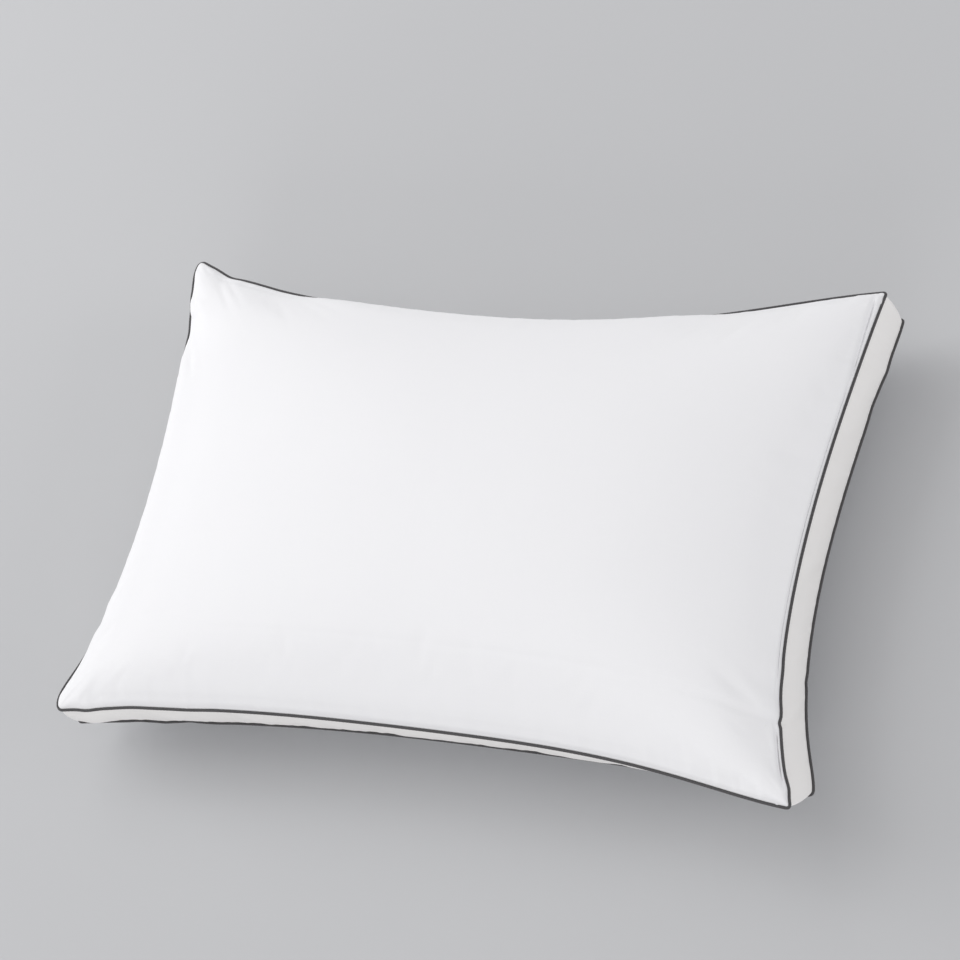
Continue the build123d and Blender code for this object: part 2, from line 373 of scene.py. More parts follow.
# Folds that run in from a seam: place along the edge, width, reach inward, slant, depth, in mm.
FOLDS = {
    ("top", "right"): (
        (-196, 5, 13, -0.5, 1.5), (-183, 6, 20, -0.7, 1.3), (-170, 5, 14, -0.8, 1.3),
        (-158, 4, 17, -0.9, 1.7), (-146, 5, 11, -0.5, -0.9), (-131, 6, 13, -0.4, 0.8),
        (196, 9, 22, 0.9, 0.9), (172, 9, 18, 0.9, 0.7),
    ),
    ("top", "left"): (
        (176, 6, 16, 0.5, 1.4), (160, 6, 14, 0.4, -1.0), (146, 6, 12, 0.3, 1.1), (-140, 6, 14, -0.4, 1.5),
        (-154, 6, 12, -0.4, -1.1), (-170, 7, 18, -0.5, 1.3), (-120, 7, 12, -0.3, 0.9),
    ),
    ("top", "back"): ((-296, 8, 20, -0.8, 1.6), (-262, 9, 16, -0.5, 0.9), (252, 10, 18, 0.6, 0.9)),
    ("top", "front"): ((-292, 8, 16, -0.7, 1.2), (-268, 9, 14, -0.5, 0.8), (285, 8, 17, 0.7, 1.1)),
}
# Valleys beside the piping, over the edge of the seam allowance inside: along the edge from and to,
# fade, depth, distance in from the seam at each end, and width, in mm.
VALLEYS = {
    ("top", "right"): (
        (146, 222, 9, 4.4, 3.2, 7.6, 2.1),
        (-126, 136, 16, 2.6, 3.9, 3.0, 0.9),
        (-208, -168, 9, 4.4, 4.5, 4.2, 1.8),
    ),
    ("top", "left"): ((-200, 200, 30, 0.4, 7.5, 7.5, 3.2),),
    ("top", "front"): ((-300, 300, 40, 0.4, 7.5, 7.5, 3.2),),
    ("top", "back"): ((-300, -220, 25, 0.9, 8, 8, 3.5), (215, 300, 25, 0.8, 8, 8, 3.5)),
}
VALLEY_LEAN = 0.25           # share of a valley's depth by which its inner side leans over it
PUCKER_WAVES = ((7.3, 0.4, 0.5), (11.9, 1.9, 0.8), (19.7, 3.1, 0.9), (33.1, 5.0, 0.9))
PUCKER = 0.16 * MM           # how much the stitching draws the cloth in, all along a seam
PUCKER_REACH = 4.5 * MM
CORNER_FADE = 12             # details fade out over the last 1/12 of half an edge


def wave_sum(waves, place):
    """Sum of sine waves, each with a length and phase and weight, at places in millimetres."""
    return sum(weight * np.sin(2 * np.pi * place / length + phase) for length, phase, weight in waves)


def window(place, start, end, fade):
    """1 between start and end, fading smoothly to 0 outside."""
    return 0.5 * (np.tanh((place - start) / fade * 1.5) - np.tanh((place - end) / fade * 1.5))


def edge_field(side, edge, place, depth, valleys):
    """Rise and overhang of the cloth near one seam, at a place along it and a depth in from it."""
    rise = np.zeros(np.broadcast(place, depth).shape)
    over = np.zeros_like(rise)
    reach = depth / ROLL_REACH
    for start, end, fade, height, overhang in ROLLS.get((side, edge), ()):
        share = window(place / MM, start, end, fade)
        rise += height * MM * share * (1 - np.exp(-reach * 1.6)) * np.exp(-(reach / 5) ** 1.5)
        over += overhang * MM * share * reach * np.exp(1 - reach) * np.exp(-(reach / 4) ** 2)
    for start, end, fade, deep, start_in, end_in, width in valleys.get((side, edge), ()):
        share = window(place / MM, start, end, fade)
        distance = np.interp(place / MM, (start, end), (start_in, end_in))
        rise -= deep * MM * share * np.exp(-((depth / MM - distance) / width) ** 2)
        lean = np.exp(-((depth / MM - distance - width) / width) ** 2)
        over += VALLEY_LEAN * deep * MM * share * lean
    for middle, width, fold_reach, slant, deep in FOLDS.get((side, edge), ()):
        across = (place / MM - middle - slant * depth / MM) / (width * (1 + depth / MM / fold_reach))
        ahead = depth / MM / fold_reach
        rise -= deep * MM * np.exp(-across ** 2) * ahead * 2.2 * np.exp(-1.2 * ahead ** 1.3)
    stitch_pull = wave_sum(PUCKER_WAVES, place / MM)
    inside = depth / PUCKER_REACH
    rise += PUCKER * stitch_pull * inside * np.exp(1 - inside)
    return rise, over


def add_edge_details(side, surface, u, v, valleys):
    """Rolls, valleys, folds and puckers beside all four seams of a panel."""
    place_x, place_y = np.meshgrid(u * HALF_X, v * HALF_Y)
    share_u, share_v = np.meshgrid(u, v)
    along_share = {"left": share_v, "right": share_v, "front": share_u, "back": share_u}
    for edge, place, depth in (
        ("left", place_y, (1 + share_u) * HALF_X), ("right", place_y, (1 - share_u) * HALF_X),
        ("front", place_x, (1 + share_v) * HALF_Y), ("back", place_x, (1 - share_v) * HALF_Y),
    ):
        rise, over = edge_field(side, edge, place, depth, valleys)
        fade = np.clip((1 - np.abs(along_share[edge])) * CORNER_FADE, 0, 1)
        fade = fade ** 2 * (3 - 2 * fade)
        inward = EDGE_ENDS[edge][2]
        surface[:, :, 0] -= inward[0] * over * fade
        surface[:, :, 1] -= inward[1] * over * fade
        surface[:, :, 2] += UP[side] * rise * fade
    return surface


def panel_shape(side, u, v, valleys):
    """A panel's outer surface before the cloth is simulated."""
    surface = add_edge_details(side, crowned_surface(side, u, v), u, v, valleys)
    surface[:, :, 2] = np.maximum(surface[:, :, 2], 0)
    return surface


# ---- cloth simulation
SIM_COLUMNS, SIM_ROWS = 180, 126
SIM_FRAMES = 20
SIM_PRESSURE = 4.0
SIM_SLACK = 0.004            # the cloth is cut this much larger than the shape it covers
SIM_CAP = 2.0 * MM           # no point moves further than this


def relaxed(name, surface):
    """Movement of a grid of cloth, held all round its rim, as it settles under pressure."""
    rows, columns = surface.shape[:2]
    faces = grid_faces(rows, columns)
    obj = new_object(name, surface.reshape(-1, 3), faces)
    group = obj.vertex_groups.new(name="sewn")
    group.add([r * columns + c for r, c in rim_indices(rows, columns)], 1.0, "REPLACE")
    cloth = obj.modifiers.new("cloth", "CLOTH")
    settings = cloth.settings
    settings.quality = 6
    settings.mass = 0.12
    settings.tension_stiffness = 12
    settings.compression_stiffness = 12
    settings.shear_stiffness = 4
    settings.bending_stiffness = 0.5
    settings.tension_damping = 8
    settings.compression_damping = 8
    settings.shear_damping = 8
    settings.air_damping = 3
    settings.vertex_group_mass = "sewn"
    settings.pin_stiffness = 1
    settings.shrink_min = -SIM_SLACK
    settings.use_pressure = True
    settings.uniform_pressure_force = SIM_PRESSURE
    settings.effector_weights.gravity = 0
    cloth.collision_settings.use_collision = False
    cloth.collision_settings.use_self_collision = False
    cloth.point_cache.frame_start = 1
    cloth.point_cache.frame_end = SIM_FRAMES
    scene = bpy.context.scene
    for frame_number in range(1, SIM_FRAMES + 1):
        scene.frame_set(frame_number)
    settled = obj.evaluated_get(bpy.context.evaluated_depsgraph_get()).data
    places = np.zeros(len(settled.vertices) * 3, np.float32)
    settled.vertices.foreach_get("co", places)
    scene.frame_set(1)
    bpy.data.objects.remove(obj, do_unlink=True)
    move = places.reshape(rows, columns, 3) - surface
    size = np.linalg.norm(move, axis=2, keepdims=True)
    return move * (SIM_CAP * np.tanh(size / SIM_CAP) / np.maximum(size, 1e-9))


def spline_weights(t, count):
    """Index and weights of a cubic B-spline at positions t on a row of count values."""
    whole = np.clip(np.floor(t).astype(int), 0, count - 2)
    f = t - whole
    weights = [(1 - f) ** 3, 3 * f ** 3 - 6 * f ** 2 + 4, -3 * f ** 3 + 3 * f ** 2 + 3 * f + 1, f ** 3]
    return whole, np.stack(weights, 1) / 6


def resampled(grid, rows_at, columns_at):
    """A coarse grid of movements spread smoothly over a finer grid; its rim stays still."""
    for positions in (rows_at, columns_at):
        count = grid.shape[0]
        padded = np.concatenate([2 * grid[:1] - grid[1:2], grid, 2 * grid[-1:] - grid[-2:-1]])
        whole, weights = spline_weights(positions, count)
        grid = sum(weights[:, k, None, None] * padded[whole + k] for k in range(4)).transpose(1, 0, 2)
    return grid


def settled_panel(side, u, v):
    """A panel's outer surface after the cloth is simulated."""
    surface = panel_shape(side, u, v, VALLEYS)
    coarse_u = stations(SIM_COLUMNS)
    coarse_v = stations(SIM_ROWS)
    start = panel_shape(side, coarse_u, coarse_v, {})   # pressure would push the valleys out
    start[:, :, 2] *= UP[side]   # the lower panel is simulated upside down, so pressure acts outward
    move = relaxed(f"{side}_settling", start)
    move[:, :, 2] *= UP[side]
    rows_at = np.interp(v, coarse_v, np.arange(SIM_ROWS))
    columns_at = np.interp(u, coarse_u, np.arange(SIM_COLUMNS))
    surface += resampled(move, rows_at, columns_at)
    surface[:, :, 2] = np.maximum(surface[:, :, 2], 0)
    return surface


PANEL_GRID = ((330, 230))


def make_panel(side, material):
    """One crowned panel with its seam allowance."""
    up = UP[side]
    columns, rows = PANEL_GRID
    u = stations(columns)
    v = stations(rows)
    surface = settled_panel(side, u, v)
    rim = rim_indices(rows, columns)
    index = np.array([r * columns + c for r, c in rim])
    line = np.array([surface[r, c] for r, c in rim])
    inward = inward_of(line)
    uv_grid = np.stack(np.meshgrid(u * HALF_X, v * HALF_Y), -1).reshape(-1, 2)
    points = [surface.reshape(-1, 3)]
    uv = [uv_grid]
    faces = grid_faces(rows, columns, flip=up < 0)
    count = len(line)
    previous = index
    for fold, reach in enumerate(FOLD_REACHES):
        points.append(turned_in(line, -inward, reach, -up * FOLD_DROP))
        uv.append(uv_grid[index] - inward * reach)
        current = rows * columns + fold * count + np.arange(count)
        for k in range(count):
            n = (k + 1) % count
            quad = (previous[k], current[k], current[n], previous[n])
            faces.append(quad if up > 0 else quad[::-1])
        previous = current
    obj = new_object(f"{side}_cover", np.concatenate(points), faces, np.concatenate(uv))
    thicken(obj, CLOTH)
    finish_piece(obj, f"{side}_panel", material)


# ---- piping
def seam_loop(side, step):
    """Closed seam line, anticlockwise, at even steps, and its length."""
    runs = []
    for edge, direction in RING:
        runs.append(FINE_EDGES[side, edge][0][::direction][:-1])
    line = np.concatenate(runs)
    closed = np.vstack([line, line[:1]])
    lengths = np.r_[0, np.cumsum(np.linalg.norm(np.diff(closed, axis=0), axis=1))]
    count = int(round(lengths[-1] / step))
    at = np.linspace(0, lengths[-1], count, endpoint=False)
    loop = np.stack([np.interp(at, lengths, closed[:, k]) for k in range(3)], 1)
    return loop, lengths[-1]


def sweep_loop(name, loop, length, section, modulation=None):
    """Sweep a closed section (outward, up) round a closed level loop."""
    ahead = np.roll(loop, -1, axis=0) - np.roll(loop, 1, axis=0)
    along = ahead / np.linalg.norm(ahead, axis=1)[:, None]
    side = np.stack([along[:, 1], -along[:, 0], np.zeros(len(loop))], 1)
    side /= np.linalg.norm(side, axis=1)[:, None]
    rise = np.cross(side, along)
    count, sides = len(loop), len(section)
    place = np.arange(count) * length / count
    out = np.repeat(section[None, :, 0], count, 0)
    lift = np.repeat(section[None, :, 1], count, 0)
    if modulation is not None:
        scale = modulation(place[:, None], np.arctan2(section[:, 1], section[:, 0])[None, :])
        out = out * scale
        lift = lift * scale
    points = loop[:, None] + side[:, None] * out[..., None] + rise[:, None] * lift[..., None]
    closed = np.vstack([section, section[:1]])
    around = np.r_[0, np.cumsum(np.linalg.norm(np.diff(closed, axis=0), axis=1))]
    faces = []
    face_uv = []
    pitch = length / count
    for k in range(count):
        n = (k + 1) % count
        for j in range(sides):
            m = (j + 1) % sides
            faces.append((k * sides + j, k * sides + m, n * sides + m, n * sides + j))
            low, high = place[k], place[k] + pitch
            face_uv += [(low, around[j]), (low, around[j + 1]), (high, around[j + 1]), (high, around[j])]
    obj = new_object(name, points.reshape(-1, 3), faces)
    layer = obj.data.uv_layers.new(name="cloth")
    layer.data.foreach_set("uv", np.asarray(face_uv, np.float32).ravel())
    return obj


def circle_section(radius, sides):
    """Closed round section."""
    angle = np.arange(sides) * 2 * np.pi / sides
    return np.stack([np.cos(angle), np.sin(angle)], 1) * radius


def tape_section(outer, inner, thickness, reach, sides):
    """Section of the tape folded round the cord: bead outside, flange, and hollow."""
    slit = 0.03 * MM
    outer_turn = math.asin((thickness + slit) / outer)
    inner_turn = math.asin(slit / inner)
    points = [(-reach, thickness + slit)]
    for angle in np.linspace(math.pi - outer_turn, -math.pi + outer_turn, sides):
        points.append((outer * math.cos(angle), outer * math.sin(angle)))
    points.append((-reach, -thickness - slit))
    points.append((-reach, -slit))
    for angle in np.linspace(-math.pi + inner_turn, math.pi - inner_turn, sides // 2):
        points.append((inner * math.cos(angle), inner * math.sin(angle)))
    points.append((-reach, slit))
    return np.array(points)[::-1]


TAPE = 0.2 * MM              # thickness of the tape's flange, one ply
BEAD_SIDES = 20
CORD_SIDES = 10
TWIST_PITCH = 3.2 * MM       # the cord's twist shows through the tape as slanting ribs
TWIST_DEPTH = 0.035


def twisted(place, angle):
    """Slight ribs that wind round the bead."""
    return 1 + TWIST_DEPTH * np.cos(2 * angle - 2 * np.pi * place / TWIST_PITCH)


def make_piping(side, cover_material, cord_material):
    """Piping tape and its filler cord round one seam."""
    step = 0.6 * MM
    loop, length = seam_loop(side, step)
    section = tape_section(BEAD_R, CORD_R * 1.05, TAPE, BEAD_R + ALLOWANCE, BEAD_SIDES)
    flange = np.abs(section[:, 0]) > BEAD_R * 1.01

    def ribs(place, angle):
        scale = twisted(place, angle)
        scale[:, flange] = 1
        scale[:, np.hypot(section[:, 0], section[:, 1]) < BEAD_R * 0.9] = 1
        return scale

    cover = sweep_loop(f"{side}_piping_bead", loop, length, section, ribs)
    finish_piece(cover, f"{side}_piping_cover", cover_material)
    coarse, length = seam_loop(side, 2 * MM)
    cord = sweep_loop(f"{side}_filler_cord", coarse, length, circle_section(CORD_R * 0.98, CORD_SIDES))
    finish_piece(cord, f"{side}_piping_cord", cord_material)


# ---- gusset
GUSSET_BULGE = 3.0 * MM
# Soft waves along a gusset strip: length, phase and share of the depth; then puckers at its seams.
GUSSET_WAVES = ((127.0, 0.8, 0.9), (71.0, 2.3, 0.8), (43.0, 4.1, 0.55), (26.0, 0.3, 0.3))
GUSSET_WAVE_DEPTH = 0.7 * MM
SEAM_WAVES = ((7.9, 1.1, 0.6), (12.7, 2.9, 0.9), (21.3, 0.2, 0.8))
SEAM_WAVE_DEPTH = 0.17 * MM
SEAM_WAVE_REACH = 4 * MM
GUSSET_HEIGHT = TOP_Z - BOTTOM_Z
GUSSET_GRID = {"long": 420, "short": 300}
GUSSET_ROWS = 27
GUSSET_CROWDING = 0.6
TAB_CLEAR = 0.35 * MM        # gap left at a corner for the neighbouring strip's allowance
# Where a strip swells over the lower piping: middle, width and extra bulge, in mm.
GUSSET_SWELL = {"front": (-309, 17, 4.5)}


def gusset_wall(edge, s, w):
    """Outer face of a gusset strip at stations s along it and w up it, and its outward vectors."""
    low = tucked_edge("bottom", edge, s, PLY)
    high = tucked_edge("top", edge, s, -PLY)
    out = seam_at("top", edge, s)[1]
    taper = np.clip((1 - np.abs(s)) * 8, 0, 1)
    bulge = GUSSET_BULGE * (4 * w * (1 - w))[:, None] * (0.6 + 0.4 * taper)[None, :]
    wall = low[None] * (1 - w)[:, None, None] + high[None] * w[:, None, None]
    place = s * half_length(edge) / MM
    if edge in GUSSET_SWELL:
        middle, width, extra = GUSSET_SWELL[edge]
        swell = np.exp(-((place - middle) / width) ** 2)
        bulge = bulge + extra * MM * (4 * w * (1 - w))[:, None] * swell
    slope = (w[:, None] - 0.5) * 26
    waves = wave_sum(GUSSET_WAVES, place[None, :] + slope) * GUSSET_WAVE_DEPTH
    waves = waves * np.sin(np.pi * w)[:, None] * taper[None, :]
    for near, seam_phase in ((w, 0.0), (1 - w, 40.0)):
        inside = near[:, None] * GUSSET_HEIGHT / SEAM_WAVE_REACH
        pull = wave_sum(SEAM_WAVES, place[None, :] + seam_phase) * SEAM_WAVE_DEPTH
        waves = waves + pull * inside * np.exp(1 - inside) * taper[None, :]
    wall[:, :, :2] += out[None] * (bulge + waves)[..., None]
    return wall, out


def make_gusset(edge, material):
    """One strip of the side band, with its allowances turned in along all four sides."""
    columns = GUSSET_GRID["long" if edge in ("front", "back") else "short"]
    s = stations(columns, GUSSET_CROWDING)
    w = (stations(GUSSET_ROWS, 0.5) + 1) / 2
    wall, out = gusset_wall(edge, s, w)
    rows = [turned_in(wall[0], out, reach, FOLD_DROP) for reach in FOLD_REACHES[::-1]]
    rows += list(wall)
    rows += [turned_in(wall[-1], out, reach, -FOLD_DROP) for reach in FOLD_REACHES]
    band = np.array(rows)
    first = [turned_in(band[:, 0], out[0], reach, 0) for reach in FOLD_REACHES[::-1]]
    last = [turned_in(band[:, -1], out[-1], reach, 0) for reach in FOLD_REACHES]
    first_clear = TAB_CLEAR * (band[0, 1] - band[0, 0]) / np.linalg.norm(band[0, 1] - band[0, 0])
    last_clear = TAB_CLEAR * (band[0, -2] - band[0, -1]) / np.linalg.norm(band[0, -2] - band[0, -1])
    columns_all = [tab + first_clear for tab in first] + list(band.transpose(1, 0, 2))
    columns_all += [tab + last_clear for tab in last]
    points = np.array(columns_all).transpose(1, 0, 2)
    folds = np.array(FOLD_REACHES)
    across = np.r_[-folds[::-1], w * GUSSET_HEIGHT, GUSSET_HEIGHT + folds]
    half = half_length(edge)
    along = np.r_[-half - folds[::-1], s * half, half + folds]
    uv = np.stack(np.meshgrid(along, across), -1)
    tabs = len(FOLD_REACHES)
    row_count, column_count = points.shape[:2]

    def corner_square(r, c):
        in_allowance = r < tabs or r >= row_count - 1 - tabs
        in_tab = c < tabs or c >= column_count - 1 - tabs
        return in_allowance and in_tab

    flip = edge in ("back", "left")
    faces = grid_faces(row_count, column_count, flip=flip, skip=corner_square)
    obj = new_object(f"{edge}_band", points.reshape(-1, 3), faces, uv.reshape(-1, 2))
    drop_loose_points(obj)
    thicken(obj, CLOTH)
    finish_piece(obj, f"gusset_{edge}", material)


# ---- thread and label
def tube(points, radius, sides, start=0):
    """Round tube along open points, with closed ends; its points and faces."""
    points = np.asarray(points, float)
    along = np.gradient(points, axis=0)
    along /= np.linalg.norm(along, axis=1)[:, None]
    reference = np.array([0.0, 0.0, 1.0]) if abs(along[:, 2]).max() < 0.9 else np.array([1.0, 0.0, 0.0])
    side = np.cross(along, reference)
    side /= np.linalg.norm(side, axis=1)[:, None]
    rise = np.cross(side, along)
    angle = np.arange(sides) * 2 * np.pi / sides
    ring = side[:, None] * np.cos(angle)[None, :, None] + rise[:, None] * np.sin(angle)[None, :, None]
    shell = (points[:, None] + ring * radius).reshape(-1, 3)
    faces = []
    for k in range(len(points) - 1):
        for j in range(sides):
            m = (j + 1) % sides
            a, b = start + k * sides, start + (k + 1) * sides
            faces.append((a + j, a + m, b + m, b + j))
    faces.append(tuple(start + j for j in range(sides))[::-1])
    faces.append(tuple(start + (len(points) - 1) * sides + j for j in range(sides)))
    return shell, faces


def tubes(name, lines, radius, sides):
    """One object made of several tubes."""
    shells, faces, start = [], [], 0
    for line in lines:
        shell, new_faces = tube(line, radius, sides, start)
        shells.append(shell)
        faces += new_faces
        start += len(shell)
    return new_object(name, np.concatenate(shells), faces)


STITCH = 3 * MM
STITCH_DIP = 0.12 * MM
STITCH_IN = 2 * MM           # the stitching runs this far in from the tucked edge
THREAD_R = 0.2 * MM


def make_seam_thread(side, material):
    """Needle and bobbin lines of one perimeter seam, dipping at every stitch."""
    lines = []
    loop, length = seam_loop(side, STITCH / 4)
    inward = inward_of(loop)
    place = np.arange(len(loop)) * length / len(loop)
    dip = STITCH_DIP * np.cos(2 * np.pi * place / STITCH)
    for up in (1, -1):
        line = loop.copy()
        line[:, :2] += inward * (TUCK + STITCH_IN)
        line[:, 2] += up * (PLY + CLOTH + 2 * THREAD_R - dip)
        lines.append(line[:-1])
    obj = tubes(f"{side}_stitch_line", lines, THREAD_R, 5)
    finish_piece(obj, f"{side}_seam_thread", material)


def make_corner_threads(material):
    """Upright seams that hold the gusset strips together, both sides of each corner's allowance."""
    w = np.linspace(0.04, 0.96, 40)
    lines = []
    for edge in EDGE_ENDS:
        wall, out = gusset_wall(edge, stations(240, GUSSET_CROWDING), w)
        for column, step in ((0, 1), (-1, -2)):
            beside = wall[:, step] - wall[:, column]
            beside /= np.linalg.norm(beside, axis=1)[:, None]
            line = turned_in(wall[:, column], out[column], 2.5 * MM, 0)
            lines.append(line + beside * (TAB_CLEAR + CLOTH + 2 * THREAD_R))
    obj = tubes("corner_stitch_lines", lines, THREAD_R, 6)
    finish_piece(obj, "corner_seam_threads", material)


CLOSING_LENGTH = 160 * MM
CLOSING_PITCH = 5 * MM
CLOSING_HALF = 1.9           # half the length of one stitch, in mm
CLOSING_PROUD = (-0.4, 0.1, 0.25, 0.3, 0.25, 0.1, -0.4)   # how far a stitch stands out along it, in mm
CLOSING_R = 0.28 * MM


def make_closing_stitches(material):
    """Short row that closes the filling opening, low on the back gusset."""
    lines = []
    count = int(CLOSING_LENGTH / CLOSING_PITCH)
    for index in range(count):
        middle = (index - (count - 1) / 2) * CLOSING_PITCH
        steps = np.linspace(-CLOSING_HALF, CLOSING_HALF, len(CLOSING_PROUD))
        s = (middle + steps * MM) / HALF_X
        wall, out = gusset_wall("back", s, np.array([0.055, 0.06]))
        line = wall[1]
        line[:, :2] += out * np.array(CLOSING_PROUD)[:, None] * MM
        lines.append(line)
    obj = tubes("closing_stitch_row", lines, CLOSING_R, 8)
    finish_piece(obj, "closing_stitches", material)


LABEL_WIDTH = 38 * MM
LABEL_CURL = 2.5 * MM        # how far the hanging corners curl outward
LABEL_CLOTH_THICKNESS = 0.2 * MM
LABEL_SMOOTHING = 6
LABEL_MIDDLE = (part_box("care_label")[0][0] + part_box("care_label")[1][0]) / 2
# The label's hang, (out, down) from the middle of the bead, in millimetres.
LABEL_HANG = (
    (-9.0, 0.85), (-5.0, 0.85), (-1.8, 0.95), (-0.6, 1.9), (0.5, 2.6), (1.9, 3.6), (3.1, 6.0),
    (4.0, 10.0), (4.8, 16.0), (5.2, 22.0), (5.3, 27.0), (5.8, 31.0), (7.2, 35.0), (9.4, 37.6),
)


def make_label(material):
    """Blank tag caught in the bottom seam at the back, hanging with a slight curl."""
    across = np.linspace(-0.5, 0.5, 17)
    hang = np.array(LABEL_HANG) * MM
    knots = np.arange(len(hang))
    fine = np.linspace(0, len(hang) - 1, 60)
    out_profile = np.interp(fine, knots, hang[:, 0])
    down_profile = np.interp(fine, knots, hang[:, 1])
    for _ in range(LABEL_SMOOTHING):
        out_profile[1:-1] = (out_profile[:-2] + 2 * out_profile[1:-1] + out_profile[2:]) / 4
        down_profile[1:-1] = (down_profile[:-2] + 2 * down_profile[1:-1] + down_profile[2:]) / 4
    s = (LABEL_MIDDLE + across * LABEL_WIDTH) / HALF_X
    line, out = seam_at("bottom", "back", s)
    curl = np.clip(down_profile / (38 * MM), 0, 1)[:, None] ** 2 * (across[None, :] * 2) ** 2
    points = np.zeros((len(fine), len(across), 3))
    outward = out_profile[:, None, None] + LABEL_CURL * curl[..., None]
    points[:, :, :2] = line[None, :, :2] + out[None] * outward
    points[:, :, 2] = line[None, :, 2] - down_profile[:, None]
    steps = np.r_[0, np.cumsum(np.hypot(np.diff(out_profile), np.diff(down_profile)))]
    uv = np.stack(np.meshgrid(across * LABEL_WIDTH, steps), -1)
    faces = grid_faces(len(fine), len(across))
    obj = new_object("blank_tag", points.reshape(-1, 3), faces, uv.reshape(-1, 2))
    thicken(obj, LABEL_CLOTH_THICKNESS)
    finish_piece(obj, "care_label", material)


# ---- filling
FILL_CLEAR = 2.5 * MM
FILL_INSET = ALLOWANCE + 2 * MM
FILL_LUMP = 0.5 * MM
# Loops round the waist: share of the way up, swell outward and height, in mm.
FILL_LOOPS = (
    (1, 0, -1.4), (1, 4.0, -2.4), (0.75, 6.0, 0), (0.5, 7.0, 0), (0.25, 6.0, 0), (0, 4.0, 2.4), (0, 0, 1.4),
)


def make_fill(material):
    """The fibre filling: one closed body, waisted where the seam allowances press into it."""
    columns, rows = 120, 84
    u = stations(columns) * (1 - FILL_INSET / HALF_X)
    v = stations(rows) * (1 - FILL_INSET / HALF_Y)
    crowns = {}
    for side, up in UP.items():
        surface = crowned_surface(side, u, v)
        lumps = np.sin(61 * u)[None, :] * np.sin(47 * v)[:, None] * FILL_LUMP
        least = TOP_Z + 1.6 * MM if up > 0 else BOTTOM_Z - 1.6 * MM
        height = surface[:, :, 2] - up * (FILL_CLEAR + lumps)
        surface[:, :, 2] = np.maximum(height, least) if up > 0 else np.minimum(height, least)
        crowns[up] = surface
    rim = rim_indices(rows, columns)
    index = np.array([r * columns + c for r, c in rim])
    top_rim = np.array([crowns[1][r, c] for r, c in rim])
    bottom_rim = np.array([crowns[-1][r, c] for r, c in rim])
    loops = []
    for share, swell, height in FILL_LOOPS:
        loop = top_rim * share + bottom_rim * (1 - share)
        loop[:, :2] -= inward_of(loop) * swell * MM
        loop[:, 2] = BOTTOM_Z + (TOP_Z - BOTTOM_Z) * share + height * MM
        loops.append(loop)
    grid_size = rows * columns
    points = np.concatenate([crowns[1].reshape(-1, 3), crowns[-1].reshape(-1, 3)] + loops)
    faces = grid_faces(rows, columns) + grid_faces(rows, columns, start=grid_size, flip=True)
    rings = [index] + [2 * grid_size + k * len(rim) + np.arange(len(rim)) for k in range(len(loops))]
    rings.append(grid_size + index)
    for upper, lower in zip(rings[:-1], rings[1:]):
        for k in range(len(rim)):
            n = (k + 1) % len(rim)
            faces.append((upper[k], lower[k], lower[n], upper[n]))
    obj = new_object("fibre_body", points, faces)
    finish_piece(obj, "fibre_fill", material)


# ---- materials
def new_material(name):
    """Empty node material with its shader and output."""
    material = bpy.data.materials.new(name)
    material.use_nodes = True
    return material, material.node_tree, material.node_tree.nodes["Principled BSDF"]


def math_node(tree, operation, first, second=None, third=None):
    """One Math node; inputs may be sockets or numbers."""
    node = tree.nodes.new("ShaderNodeMath")
    node.operation = operation
    for socket, value in zip(node.inputs, (first, second, third)):
        if value is None:
            continue
        if isinstance(value, (int, float)):
            socket.default_value = value
        else:
            tree.links.new(value, socket)
    return node.outputs[0]


def cloth_axes(tree):
    """The cloth's own coordinates, in metres along its warp and weft."""
    uv = tree.nodes.new("ShaderNodeUVMap")
    uv.uv_map = "cloth"
    split = tree.nodes.new("ShaderNodeSeparateXYZ")
    tree.links.new(uv.outputs[0], split.inputs[0])
    return uv.outputs[0], split.outputs[0], split.outputs[1]


def plain_weave(tree, x, y, pitch):
    """Over-and-under weave as a height from 0 to 1."""
    warp = math_node(tree, "SINE", math_node(tree, "MULTIPLY", x, math.pi / pitch))
    weft = math_node(tree, "SINE", math_node(tree, "MULTIPLY", y, math.pi / pitch))
    product = math_node(tree, "MULTIPLY", warp, weft)
    return math_node(tree, "MULTIPLY_ADD", product, 0.5, 0.5)


def noise(tree, vector, stretch, detail=2.0, roughness=0.5):
    """Noise stretched along the cloth's axes; stretch gives cycles per metre each way."""
    mapping = tree.nodes.new("ShaderNodeMapping")
    mapping.inputs["Scale"].default_value = stretch
    tree.links.new(vector, mapping.inputs["Vector"])
    node = tree.nodes.new("ShaderNodeTexNoise")
    node.inputs["Scale"].default_value = 1.0
    node.inputs["Detail"].default_value = detail
    node.inputs["Roughness"].default_value = roughness
    tree.links.new(mapping.outputs[0], node.inputs["Vector"])
    return node.outputs[0]


def mixed_colour(tree, factor, low, high):
    """Blend of two colours by a factor."""
    node = tree.nodes.new("ShaderNodeMix")
    node.data_type = "RGBA"
    tree.links.new(factor, node.inputs[0])
    node.inputs[6].default_value = (*low, 1)
    node.inputs[7].default_value = (*high, 1)
    return node.outputs[2]


def bump(tree, height, distance, strength, normal=None):
    """Bump of a real height in metres."""
    node = tree.nodes.new("ShaderNodeBump")
    node.inputs["Distance"].default_value = distance
    node.inputs["Strength"].default_value = strength
    tree.links.new(height, node.inputs["Height"])
    if normal is not None:
        tree.links.new(normal, node.inputs["Normal"])
    return node.outputs[0]


